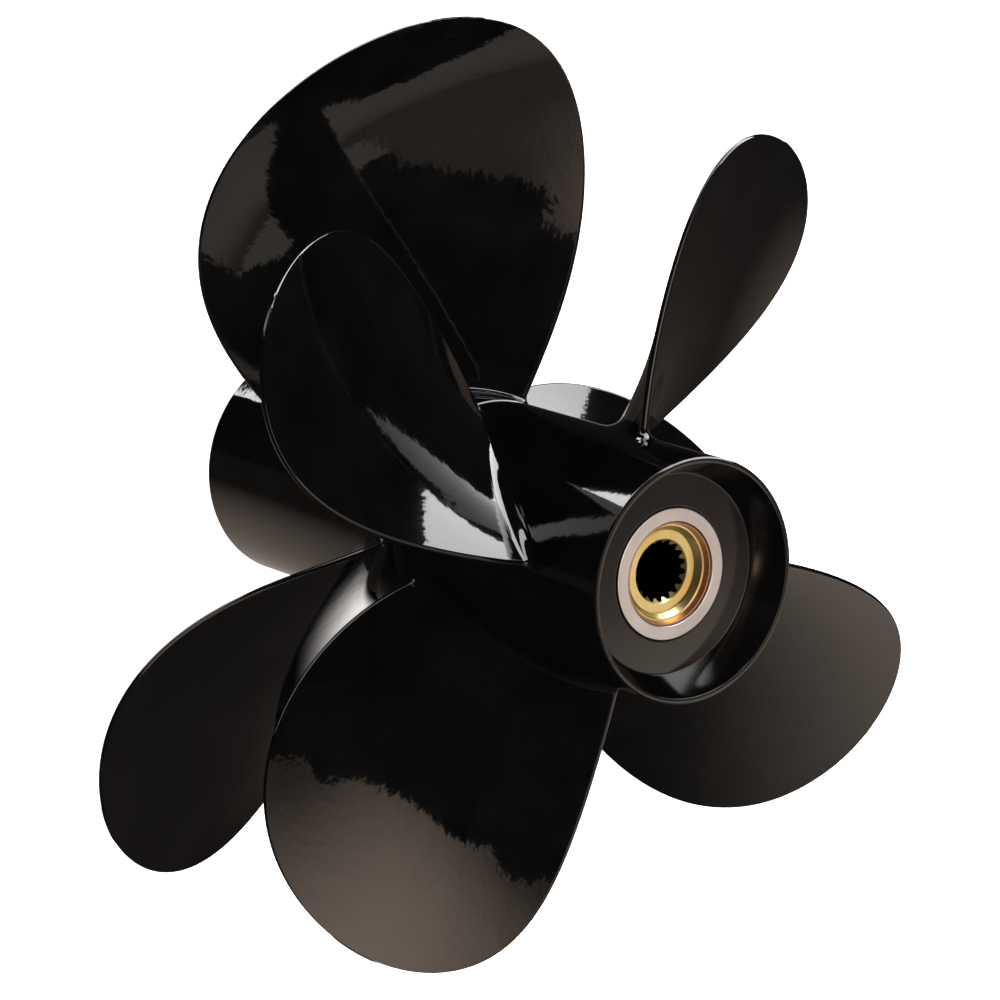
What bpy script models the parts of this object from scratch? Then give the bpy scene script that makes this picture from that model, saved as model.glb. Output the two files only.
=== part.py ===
"""Contra-rotating propeller pair: a four-bladed rear propeller and a three-bladed front one on one axis.

Metres, +Z up. The pair stands on the front propeller's forward end, so +Z points aft along the shaft
axis. The origin is on that axis, in the plane of the forward end. The rear propeller is right-handed
and the front one left-handed, and the rear one turns about the axis.
"""

import math
from dataclasses import dataclass

import bmesh
import bpy

# Driving dimensions
FIT_GAP = 0.0003
HUB_RADIUS = 0.050
FRONT_LENGTH = 0.1375
RUNNING_GAP = 0.005
REAR_LENGTH = 0.1288
CUP_DEPTH = 0.0152
CUP_MOUTH_RADIUS = 0.0476
CUP_FLOOR_RADIUS = 0.0412
RIM_CHAMFER = 0.0006
INNER_END_RECESS = 0.008

BLADE_ROOT_THICKNESS = 0.0110
BLADE_TIP_THICKNESS = 0.0030
BLADE_EDGE_THICKNESS = 0.0016
BLADE_FACE_SHARE = 0.15
BLADE_THINNING_POWER = 0.7
BLADE_FULLNESS_POWER = 2.4
BLADE_SMOOTH_ANGLE = math.radians(50.0)
BLADE_ROOT_GAP = 0.0006
BLADE_STATIONS = 13
BLADE_LAST_STATION = 0.965
BLADE_CHORD_POINTS = 15

FLANGE_HEIGHT = 0.005
FLANGE_PROUD = 0.0007
FLANGE_WIDTH = 0.0057
SEAT_DEPTH = 0.005
SEAT_WALL_THICKNESS = 0.0006
SEAT_WALL_SLOPE = 0.0006
SEAT_LEDGE_DEPTH = 0.0028
SEAT_LEDGE_WIDTH = 0.0008
SEAT_CONE_WIDTH = 0.0022
THRUST_GAP = 0.0004
ROUND_STEPS = 60

# One spline tooth as shares of its pitch: the groove's two corners, then the tooth's
GROOVE_SHARES = (0.06, 0.44)
TOOTH_SHARES = (0.58, 0.92)

FRONT_AZIMUTH = math.radians(90.0)
REAR_AZIMUTH = math.radians(65.2)

REAR_START = FRONT_LENGTH + RUNNING_GAP
REAR_END = REAR_START + REAR_LENGTH
THRUST_HEIGHT = FRONT_LENGTH + RUNNING_GAP / 2


@dataclass(frozen=True)
class BladeShape:
    """One propeller's blade, as series in its span x, which is 0 at the root and 1 at the tip.

    Half chord and skew are lengths along the helix. Half chord starts with its root value. Skew starts
    with the factor of x. Pitch is a value at half span, then a slope and a curve about it. Rake is a
    height for each metre, square metre and cubic metre outside the hub.
    """

    hand: int
    count: int
    pitch: tuple[float, float, float]
    tip_radius: float
    height: float
    rake: tuple[float, float, float]
    half_chord: tuple[float, float, float, float]
    skew: tuple[float, float, float, float]
    tip_power: float


@dataclass(frozen=True)
class SleeveShape:
    """The splined insert in the middle of one hub."""

    teeth: int
    root_radius: float
    tooth_radius: float
    outer_radius: float
    turn: float


REAR_BLADE = BladeShape(
    hand=1,
    count=4,
    pitch=(0.518, 0.062, -0.191),
    tip_radius=0.1883,
    height=0.1923,
    rake=(-0.185, 2.06, -4.50),
    half_chord=(0.0484, 0.0542, -0.0461, 0.0408),
    skew=(-0.0074, 0.0211, -0.0097, 0.0031),
    tip_power=3.3,
)
FRONT_BLADE = BladeShape(
    hand=-1,
    count=3,
    pitch=(0.496, 0.186, -0.435),
    tip_radius=0.2077,
    height=0.0977,
    rake=(-0.234, -0.83, 14.71),
    half_chord=(0.0505, 0.0957, -0.0213, -0.0056),
    skew=(-0.0246, -0.0431, 0.0481, -0.0417),
    tip_power=2.4,
)
REAR_SLEEVE = SleeveShape(
    teeth=18,
    root_radius=0.0127,
    tooth_radius=0.0114,
    outer_radius=0.0210,
    turn=math.radians(-10.9),
)
FRONT_SLEEVE = SleeveShape(
    teeth=26,
    root_radius=0.0194,
    tooth_radius=0.0180,
    outer_radius=0.0277,
    turn=0.0,
)


def clear_scene():
    for obj in list(bpy.data.objects):
        bpy.data.objects.remove(obj, do_unlink=True)


def new_collection(name):
    collection = bpy.data.collections.new(name)
    bpy.context.scene.collection.children.link(collection)
    return collection


def paint(name, colour, roughness, metallic):
    material = bpy.data.materials.new(name)
    material.use_nodes = True
    shader = material.node_tree.nodes["Principled BSDF"]
    shader.inputs["Base Color"].default_value = (*colour, 1.0)
    shader.inputs["Roughness"].default_value = roughness
    shader.inputs["Metallic"].default_value = metallic
    return material


def add_object(name, data, material, collection, parent=None):
    data.materials.append(material)
    obj = bpy.data.objects.new(name, data)
    obj.parent = parent
    collection.objects.link(obj)
    return obj


def turned(name, profile, material, collection, parent=None):
    """A ring turned about Z. The profile is a closed loop of (radius, height), down its outer side."""
    mesh = bpy.data.meshes.new(name)
    points = [(radius, 0.0, height) for radius, height in profile]
    edges = [(i, (i + 1) % len(points)) for i in range(len(points))]
    mesh.from_pydata(points, edges, [])
    obj = add_object(name, mesh, material, collection, parent)
    screw = obj.modifiers.new("turn", "SCREW")
    screw.steps = ROUND_STEPS
    screw.render_steps = ROUND_STEPS
    screw.use_merge_vertices = True
    screw.merge_threshold = 0.00005
    screw.use_smooth_shade = True
    return obj


def barrel(name, low, high, cup_at_high, material, collection, parent=None):
    """One hub's outer tube, with a flared cup at its outer end and a plain bore at the other."""
    outside = [(HUB_RADIUS - RIM_CHAMFER, high), (HUB_RADIUS, high - RIM_CHAMFER)]
    outside += [(HUB_RADIUS, low + RIM_CHAMFER), (HUB_RADIUS - RIM_CHAMFER, low)]
    if cup_at_high:
        inside = [(CUP_FLOOR_RADIUS, low), (CUP_FLOOR_RADIUS, high - CUP_DEPTH)]
        inside.append((CUP_MOUTH_RADIUS, high))
    else:
        inside = [(CUP_MOUTH_RADIUS, low), (CUP_FLOOR_RADIUS, low + CUP_DEPTH)]
        inside.append((CUP_FLOOR_RADIUS, high))
    return turned(name, outside + inside, material, collection, parent)


def core(name, face, back, flange_radius, bore_radius, material, collection, parent=None):
    """The body between tube and sleeve. Its face is the cup's floor, with a pocket for the flange."""
    way = 1 if face > back else -1
    pocket = face - way * (FLANGE_HEIGHT - FLANGE_PROUD + FIT_GAP)
    outer = CUP_FLOOR_RADIUS - FIT_GAP
    loop = [(outer, face), (outer, back), (bore_radius, back), (bore_radius, pocket)]
    loop += [(flange_radius, pocket), (flange_radius, face)]
    if way < 0:
        loop.reverse()
    return turned(name, loop, material, collection, parent)


def flange_ring(name, face, way, inner, material, collection, parent=None):
    """The pale flat ring around the seat, standing slightly proud of the cup's floor."""
    outer = inner + FLANGE_WIDTH
    top = face + way * FLANGE_PROUD
    bottom = top - way * FLANGE_HEIGHT
    bevel = way * RIM_CHAMFER
    loop = [(outer - RIM_CHAMFER, top), (outer, top - bevel), (outer, bottom), (inner, bottom)]
    loop += [(inner, top - bevel), (inner + RIM_CHAMFER, top)]
    if way < 0:
        loop.reverse()
    return turned(name, loop, material, collection, parent)


def seat_ring(name, face, way, outer, material, collection, parent=None):
    """The stepped recess that a shaft nut's washer centres in: a steep wall, a ledge and a cone."""
    bottom = face - way * SEAT_DEPTH
    ledge = face - way * SEAT_LEDGE_DEPTH
    wall = outer - SEAT_WALL_THICKNESS
    ledge_outer = wall - SEAT_WALL_SLOPE
    ledge_inner = ledge_outer - SEAT_LEDGE_WIDTH
    loop = [(outer, face), (outer, bottom), (ledge_inner - SEAT_CONE_WIDTH, bottom)]
    loop += [(ledge_inner, ledge), (ledge_outer, ledge), (wall, face)]
    if way < 0:
        loop.reverse()
    return turned(name, loop, material, collection, parent)


def circle_points(radius, count):
    turn = math.tau / count
    return [(radius * math.cos(turn * i), radius * math.sin(turn * i)) for i in range(count)]


def spline_points(shape):
    """The toothed outline of the bore: four corners a tooth."""
    corners = [(share, shape.root_radius) for share in GROOVE_SHARES]
    corners += [(share, shape.tooth_radius) for share in TOOTH_SHARES]
    points = []
    for i in range(shape.teeth):
        for share, radius in corners:
            angle = shape.turn + math.tau * (i + share) / shape.teeth
            points.append((radius * math.cos(angle), radius * math.sin(angle)))
    return points


def splined_sleeve(name, shape, low, high, material, collection, parent=None):
    """A tube with a splined bore: a flat outline, extruded."""
    curve = bpy.data.curves.new(name, "CURVE")
    curve.dimensions = "2D"
    curve.fill_mode = "BOTH"
    curve.extrude = (high - low) / 2
    for points in (circle_points(shape.outer_radius, ROUND_STEPS), spline_points(shape)):
        line = curve.splines.new("POLY")
        line.points.add(len(points) - 1)
        for spot, (x, y) in zip(line.points, points):
            spot.co = (x, y, 0.0, 1.0)
        line.use_cyclic_u = True
    obj = add_object(name, curve, material, collection, parent)
    obj.location.z = (low + high) / 2
    return obj


def blade_station(shape, share):
    """Radius, half chord, skew, rake and lead (pitch for each radian) at one share of the span."""
    root = HUB_RADIUS + BLADE_ROOT_GAP
    radius = root + (shape.tip_radius - root) * share
    width = sum(k * share**power for power, k in enumerate(shape.half_chord))
    half = width * math.sqrt(max(0.0, 1.0 - share**shape.tip_power))
    skew = sum(k * share ** (power + 1) for power, k in enumerate(shape.skew))
    out = radius - HUB_RADIUS
    rake = sum(k * out ** (power + 1) for power, k in enumerate(shape.rake))
    pitch = sum(k * (share - 0.5) ** power for power, k in enumerate(shape.pitch))
    return radius, half, skew, rake, pitch / math.tau


def wrapped(shape, share, length, offset):
    """A point of a section: so far along the helix and so far off it, on the section's cylinder."""
    radius, _, _, rake, lead = blade_station(shape, share)
    helix = math.hypot(radius, lead)
    angle = length / helix - shape.hand * offset * lead / helix / radius
    height = shape.height + rake + shape.hand * lead * length / helix + offset * radius / helix
    return radius * math.cos(angle), radius * math.sin(angle), height


def blade_section(shape, share):
    """A section in three rows from leading to trailing edge: its face, its middle line and its back."""
    _, half, skew, _, _ = blade_station(shape, share)
    thinning = (BLADE_ROOT_THICKNESS - BLADE_TIP_THICKNESS) * share**BLADE_THINNING_POWER
    thickness = BLADE_ROOT_THICKNESS - thinning
    face, middle, back = [], [], []
    for i in range(BLADE_CHORD_POINTS):
        along = -math.cos(math.pi * i / (BLADE_CHORD_POINTS - 1))
        length = skew + half * along
        body = (1 - abs(along) ** BLADE_FULLNESS_POWER) * (thickness - BLADE_EDGE_THICKNESS)
        over = body * BLADE_FACE_SHARE + BLADE_EDGE_THICKNESS / 2
        under = body * (1 - BLADE_FACE_SHARE) + BLADE_EDGE_THICKNESS / 2
        at_end = i in (0, BLADE_CHORD_POINTS - 1)
        round_edge = along * BLADE_EDGE_THICKNESS / 2 if at_end else 0.0
        face.append(wrapped(shape, share, length, over))
        middle.append(wrapped(shape, share, length + round_edge, (over - under) / 2))
        back.append(wrapped(shape, share, length, -under))
    return face, middle, back


def blade_mesh(name, shape):
    """A loft through wrapped sections from the tube's surface to the tip, closed at both ends."""
    form = bmesh.new()
    loops = []
    for i in range(BLADE_STATIONS):
        share = math.sin(math.pi / 2 * BLADE_LAST_STATION * i / (BLADE_STATIONS - 1))
        rows = [[form.verts.new(point) for point in row] for row in blade_section(shape, share)]
        face, middle, back = rows
        loops.append([middle[0], *face, middle[-1], *back[::-1]])
        if i in (0, BLADE_STATIONS - 1):
            cap_section(form, rows)
        else:
            bmesh.ops.delete(form, geom=middle[1:-1], context="VERTS")
    for low, high in zip(loops, loops[1:]):
        for j in range(len(low)):
            k = (j + 1) % len(low)
            form.faces.new((low[j], low[k], high[k], high[j]))
    bmesh.ops.recalc_face_normals(form, faces=form.faces)
    mesh = bpy.data.meshes.new(name)
    form.to_mesh(mesh)
    form.free()
    mesh.shade_smooth()
    mesh.set_sharp_from_angle(angle=BLADE_SMOOTH_ANGLE)
    return mesh


def cap_section(form, rows):
    """Closes a section with two strips that meet on its middle line, so that it follows the cylinder."""
    for one, other in zip(rows, rows[1:]):
        for j in range(len(one) - 1):
            form.faces.new((one[j], one[j + 1], other[j + 1], other[j]))


def blades(prefix, shape, first, material, collection, parent=None):
    for i in range(shape.count):
        name = f"{prefix}_{i + 1}"
        obj = add_object(name, blade_mesh(name, shape), material, collection, parent)
        obj.rotation_euler.z = first + math.tau * i / shape.count


def front_propeller(black, pale, gold, collection):
    """The left-handed three-bladed propeller, whose cup faces down."""
    face = CUP_DEPTH
    bore = FRONT_SLEEVE.outer_radius + FIT_GAP
    barrel("front_barrel", 0.0, FRONT_LENGTH, False, black, collection)
    back = FRONT_LENGTH - INNER_END_RECESS
    pocket = bore + FLANGE_WIDTH + FIT_GAP
    core("front_hub_core", face, back, pocket, bore, black, collection)
    blades("front_blade", FRONT_BLADE, FRONT_AZIMUTH, black, collection)
    flange_ring("front_flange_ring", face, -1, bore, pale, collection)
    seat_ring("front_seat_ring", face, -1, FRONT_SLEEVE.outer_radius, gold, collection)
    low = face + SEAT_DEPTH + FIT_GAP
    high = THRUST_HEIGHT - THRUST_GAP / 2
    splined_sleeve("front_splined_sleeve", FRONT_SLEEVE, low, high, gold, collection)


def rear_propeller(black, pale, gold, collection):
    """The right-handed four-bladed propeller, whose cup faces up, under an empty on the shaft axis."""
    axis = bpy.data.objects.new("rear_shaft_axis", None)
    collection.objects.link(axis)
    face = REAR_END - CUP_DEPTH
    bore = REAR_SLEEVE.outer_radius + FIT_GAP
    barrel("rear_barrel", REAR_START, REAR_END, True, black, collection, axis)
    back = REAR_START + INNER_END_RECESS
    pocket = bore + FLANGE_WIDTH + FIT_GAP
    core("rear_hub_core", face, back, pocket, bore, black, collection, axis)
    blades("rear_blade", REAR_BLADE, REAR_AZIMUTH, black, collection, axis)
    flange_ring("rear_flange_ring", face, 1, bore, pale, collection, axis)
    seat_ring("rear_seat_ring", face, 1, REAR_SLEEVE.outer_radius, gold, collection, axis)
    low = THRUST_HEIGHT + THRUST_GAP / 2
    high = face - SEAT_DEPTH - FIT_GAP
    splined_sleeve("rear_splined_sleeve", REAR_SLEEVE, low, high, gold, collection, axis)


def main():
    clear_scene()
    pair = new_collection("contra_rotating_propellers")
    black = paint("gloss_black_paint", (0.008, 0.008, 0.009), 0.12, 0.0)
    pale = paint("pale_plated_steel", (0.72, 0.68, 0.64), 0.4, 1.0)
    gold = paint("yellow_plated_steel", (0.75, 0.52, 0.18), 0.3, 1.0)
    front_propeller(black, pale, gold, pair)
    rear_propeller(black, pale, gold, pair)


main()
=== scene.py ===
"""Looks of a contra-rotating boat propeller pair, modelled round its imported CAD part.

Metres, +Z up along the shaft axis. The pair stands on the front propeller's forward end, and the rear
propeller is above it. Each casting's blades grow out of its turned hub with cast root fillets.
"""

import logging
import math
from collections.abc import Sequence
from dataclasses import dataclass, replace
from enum import Enum

import bmesh
import bpy
from bpy.types import Material, Node, NodeSocket, NodeTree, Object
from mathutils import Matrix, Vector


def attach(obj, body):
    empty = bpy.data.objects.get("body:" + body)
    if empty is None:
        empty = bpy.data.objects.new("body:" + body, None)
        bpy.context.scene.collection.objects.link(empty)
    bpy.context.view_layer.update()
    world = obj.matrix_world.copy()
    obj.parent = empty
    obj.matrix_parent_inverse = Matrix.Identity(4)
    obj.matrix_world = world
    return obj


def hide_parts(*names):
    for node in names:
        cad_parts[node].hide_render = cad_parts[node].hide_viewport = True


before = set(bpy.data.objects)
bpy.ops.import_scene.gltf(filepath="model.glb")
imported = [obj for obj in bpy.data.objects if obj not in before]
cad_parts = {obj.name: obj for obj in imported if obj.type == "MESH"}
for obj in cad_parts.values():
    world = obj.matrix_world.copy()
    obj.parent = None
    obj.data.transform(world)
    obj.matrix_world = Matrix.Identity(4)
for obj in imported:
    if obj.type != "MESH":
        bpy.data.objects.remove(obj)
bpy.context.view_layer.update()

LOG = logging.getLogger("propeller_pair")

Point = tuple[float, float, float]
Flat = tuple[float, float]
Colour = tuple[float, float, float]

FIT_GAP = 0.0003
HUB_RADIUS = 0.050
FRONT_LENGTH = 0.1375
RUNNING_GAP = 0.005
REAR_LENGTH = 0.1288
REAR_START = FRONT_LENGTH + RUNNING_GAP
REAR_END = REAR_START + REAR_LENGTH
THRUST_HEIGHT = FRONT_LENGTH + RUNNING_GAP / 2
THRUST_GAP = 0.0004
CUP_DEPTH = 0.0152
SEAT_DEPTH = 0.005
FLANGE_WIDTH = 0.0057
FLANGE_HEIGHT = 0.005
FLANGE_PROUD = 0.0007
FRONT_SLEEVE_RADIUS = 0.0277
REAR_SLEEVE_RADIUS = 0.0210
ROUND_STEPS = 192
MERGE_DISTANCE = 0.000005
SMOOTH_ANGLE = math.radians(38.0)


class Body(Enum):
    """The two CAD bodies that pieces ride on."""

    FRONT = "front_propeller"
    REAR = "rear_propeller"


class Slot(Enum):
    """The record's material slots."""

    BLACK = "gloss_black_paint"
    PALE = "pale_plated_ring"
    YELLOW = "yellow_plated_steel"


# ---- mesh work


def deselect_all() -> None:
    """Leaves nothing selected, so that an operator acts on the new piece alone."""
    bpy.ops.object.select_all(action="DESELECT")


def name_new(name: str) -> Object:
    """Names the piece that an operator has just added, and gives it back."""
    obj = bpy.context.active_object
    obj.name = name
    obj.data.name = name
    return obj


def hide_from(obj: Object, *rays: str) -> None:
    """Hides a studio piece from some kinds of rays."""
    for ray in rays:
        setattr(obj, f"visible_{ray}", False)


class Loft:
    """A skin drawn ring by ring: a circle is added, and each further ring is extruded from the last.

    Each vertex keeps its lane, its number round the ring, in a layer that the extrude copies.
    """

    def __init__(self, name: str, ring: Sequence[Point]) -> None:
        """Adds the circle and puts its vertices on the first ring's points."""
        deselect_all()
        bpy.ops.mesh.primitive_circle_add(vertices=len(ring), radius=HUB_RADIUS)
        self.obj = name_new(name)
        bpy.ops.object.mode_set(mode="EDIT")
        bpy.ops.mesh.select_mode(type="VERT")
        form = bmesh.from_edit_mesh(self.obj.data)
        lane = form.verts.layers.int.new("lane")
        for number, vertex in enumerate(form.verts):
            vertex[lane] = number
        bpy.ops.mesh.select_all(action="SELECT")
        self._place(ring)

    def _place(self, ring: Sequence[Point]) -> None:
        """Moves the selected vertices to a ring's points, by lane."""
        form = bmesh.from_edit_mesh(self.obj.data)
        lane = form.verts.layers.int["lane"]
        for vertex in form.verts:
            if vertex.select:
                vertex.co = ring[vertex[lane]]
        bmesh.update_edit_mesh(self.obj.data)

    def extend(self, ring: Sequence[Point]) -> None:
        """Extrudes the last ring to a new one."""
        bpy.ops.mesh.extrude_region_move()
        self._place(ring)

    def cap_open_ends(self) -> None:
        """Fills every ring that is still open."""
        bpy.ops.mesh.select_all(action="DESELECT")
        bpy.ops.mesh.select_mode(type="EDGE")
        bpy.ops.mesh.select_non_manifold()
        bpy.ops.mesh.edge_face_add()
        bpy.ops.mesh.select_mode(type="VERT")


def close_skin(obj: Object, smooth_angle: float = SMOOTH_ANGLE) -> Object:
    """Merges doubles, points the faces outwards and shades smooth. It is called in edit mode.

    Args:
        obj: The object in edit mode.
        smooth_angle: Edges sharper than this stay crisp, in radians.

    Returns:
        The same object, back in object mode.
    """
    bpy.ops.mesh.select_all(action="SELECT")
    bpy.ops.mesh.remove_doubles(threshold=MERGE_DISTANCE)
    bpy.ops.mesh.normals_make_consistent(inside=False)
    bpy.ops.object.mode_set(mode="OBJECT")
    bpy.ops.object.shade_smooth_by_angle(angle=smooth_angle)
    return obj


def turned_copy(source: Object, name: str, angle: float) -> Object:
    """Copies a piece with its own mesh, turned about the shaft axis.

    Args:
        source: The piece to copy.
        name: The copy's name.
        angle: Turn about Z, in radians.

    Returns:
        The copy, whose object is unturned.
    """
    deselect_all()
    source.select_set(True)
    bpy.context.view_layer.objects.active = source
    bpy.ops.object.duplicate(linked=False)
    copy = name_new(name)
    copy.rotation_euler.z = angle
    bpy.ops.object.transform_apply(location=False, rotation=True, scale=False)
    return copy


@dataclass(frozen=True)
class Corner:
    """One corner of a turned profile."""

    radius: float
    height: float
    rounding: float = 0.0


@dataclass
class TurnedRing:
    """A ring turned about the shaft axis from a closed profile with rounded corners."""

    name: str
    corners: Sequence[Corner]

    ARC_STEPS = 4
    SUPPORT = 0.0003

    def _rounded(self, index: int) -> list[Flat]:
        """One corner's points, as (radius, height): an arc between two support points."""
        corner = self.corners[index]
        here = Vector((corner.radius, corner.height))
        if corner.rounding <= 0.0:
            return [tuple(here)]
        before = self.corners[index - 1]
        after = self.corners[(index + 1) % len(self.corners)]
        back = (Vector((before.radius, before.height)) - here).normalized()
        ahead = (Vector((after.radius, after.height)) - here).normalized()
        half = back.angle(ahead) / 2
        reach = corner.rounding / math.tan(half)
        centre = here + (back + ahead).normalized() * corner.rounding / math.sin(half)
        first, last = here + back * reach, here + ahead * reach
        points = [tuple(first + back * self.SUPPORT)]
        start, end = first - centre, last - centre
        sweep = start.angle_signed(end)
        for step in range(self.ARC_STEPS + 1):
            turn = Matrix.Rotation(-sweep * step / self.ARC_STEPS, 2)
            points.append(tuple(centre + turn @ start))
        points.append(tuple(last + ahead * self.SUPPORT))
        return points

    def build(self) -> Object:
        """Draws the profile vertex by vertex, spins it and gives the finished ring."""
        points = [point for index in range(len(self.corners)) for point in self._rounded(index)]
        deselect_all()
        bpy.ops.mesh.primitive_plane_add(size=FIT_GAP)
        obj = name_new(self.name)
        bpy.ops.object.mode_set(mode="EDIT")
        bpy.ops.mesh.select_mode(type="VERT")
        bpy.ops.mesh.select_all(action="SELECT")
        bpy.ops.mesh.merge(type="CENTER")
        spot = (0.0, 0.0)
        for number, (radius, height) in enumerate(points):
            step = (radius - spot[0], 0.0, height - spot[1])
            spot = (radius, height)
            if number:
                bpy.ops.mesh.extrude_vertices_move(TRANSFORM_OT_translate={"value": step})
            else:
                bpy.ops.transform.translate(value=step)
        form = bmesh.from_edit_mesh(obj.data)
        form.verts.ensure_lookup_table()
        form.verts[0].select = True
        bmesh.update_edit_mesh(obj.data)
        bpy.ops.mesh.edge_face_add()
        bpy.ops.mesh.select_all(action="SELECT")
        bpy.ops.mesh.spin(steps=ROUND_STEPS, angle=math.tau, center=(0, 0, 0), axis=(0, 0, 1))
        return close_skin(obj)


# ---- finishes


class NodeSheet:
    """A short way to lay out nodes in one tree."""

    def __init__(self, tree: NodeTree) -> None:
        """Keeps the tree."""
        self.tree = tree

    def feed(self, socket: NodeSocket, value: object) -> None:
        """Links a socket into an input, or sets the input to a value."""
        if isinstance(value, NodeSocket):
            self.tree.links.new(value, socket)
        else:
            socket.default_value = value

    def add(self, kind: str, inputs: dict[str | int, object] | None = None, **settings: object) -> Node:
        """Adds a node.

        Args:
            kind: The node's type name.
            inputs: Values, or sockets to link from, by input name or number.
            settings: Attributes of the node itself.

        Returns:
            The new node.
        """
        node = self.tree.nodes.new(kind)
        for key, value in settings.items():
            setattr(node, key, value)
        for key, value in (inputs or {}).items():
            self.feed(node.inputs[key], value)
        return node

    def group(self, tree: NodeTree, place: NodeSocket, **values: float) -> Node:
        """Adds a shared effect at these object coordinates, with its own values."""
        return self.add("ShaderNodeGroup", {"Vector": place, **values}, node_tree=tree)

    def math(self, operation: str, *values: object) -> NodeSocket:
        """Adds one operation on numbers or sockets, and gives its result."""
        return self.add("ShaderNodeMath", dict(enumerate(values)), operation=operation).outputs["Value"]

    def spread(self, value: NodeSocket, low: float, high: float) -> NodeSocket:
        """Maps 0 to 1 onto the range from low to high."""
        node = self.add("ShaderNodeMapRange", {"Value": value, "To Min": low, "To Max": high})
        return node.outputs["Result"]

    def mask(self, value: NodeSocket, none: float, full: float) -> NodeSocket:
        """Eases from 0, where the value is none, to 1, where it is full."""
        node = self.add("ShaderNodeMapRange", {"Value": value, "From Min": none, "From Max": full},
                        interpolation_type="SMOOTHSTEP")
        return node.outputs["Result"]

    def ripple(self, shader: Node, height: NodeSocket, distance: float) -> None:
        """Bumps a shader's normal by a height from 0 to 1, over a distance in metres."""
        bump = self.add("ShaderNodeBump", {"Height": height, "Distance": distance})
        self.feed(shader.inputs["Normal"], bump.outputs["Normal"])

    def radius(self, place: NodeSocket) -> NodeSocket:
        """The distance from the shaft axis at these object coordinates, in metres."""
        flat = self.add("ShaderNodeVectorMath", {0: place, 1: (1.0, 1.0, 0.0)}, operation="MULTIPLY")
        length = self.add("ShaderNodeVectorMath", {0: flat.outputs["Vector"]}, operation="LENGTH")
        return length.outputs["Value"]

    def blend(self, mask: NodeSocket, colour: NodeSocket, other: Colour) -> NodeSocket:
        """Mixes a colour socket, where the mask is 0, with another colour, where it is 1."""
        node = self.add("ShaderNodeMix", {"Factor": mask}, data_type="RGBA")
        colours = {socket.name: socket for socket in node.inputs if socket.type == "RGBA"}
        self.feed(colours["A"], colour)
        self.feed(colours["B"], (*other, 1.0))
        return next(socket for socket in node.outputs if socket.type == "RGBA")

    def ramp(self, value: NodeSocket, stops: Sequence[tuple[float, Colour]]) -> NodeSocket:
        """Colours a value by stops, which are places from 0 to 1 with their colours."""
        node = self.add("ShaderNodeValToRGB", {"Fac": value})
        elements = node.color_ramp.elements
        while len(elements) < len(stops):
            elements.new(1.0)
        for element, (place, colour) in zip(elements, stops):
            element.position = place
            element.color = (*colour, 1.0)
        return node.outputs["Color"]


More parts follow.
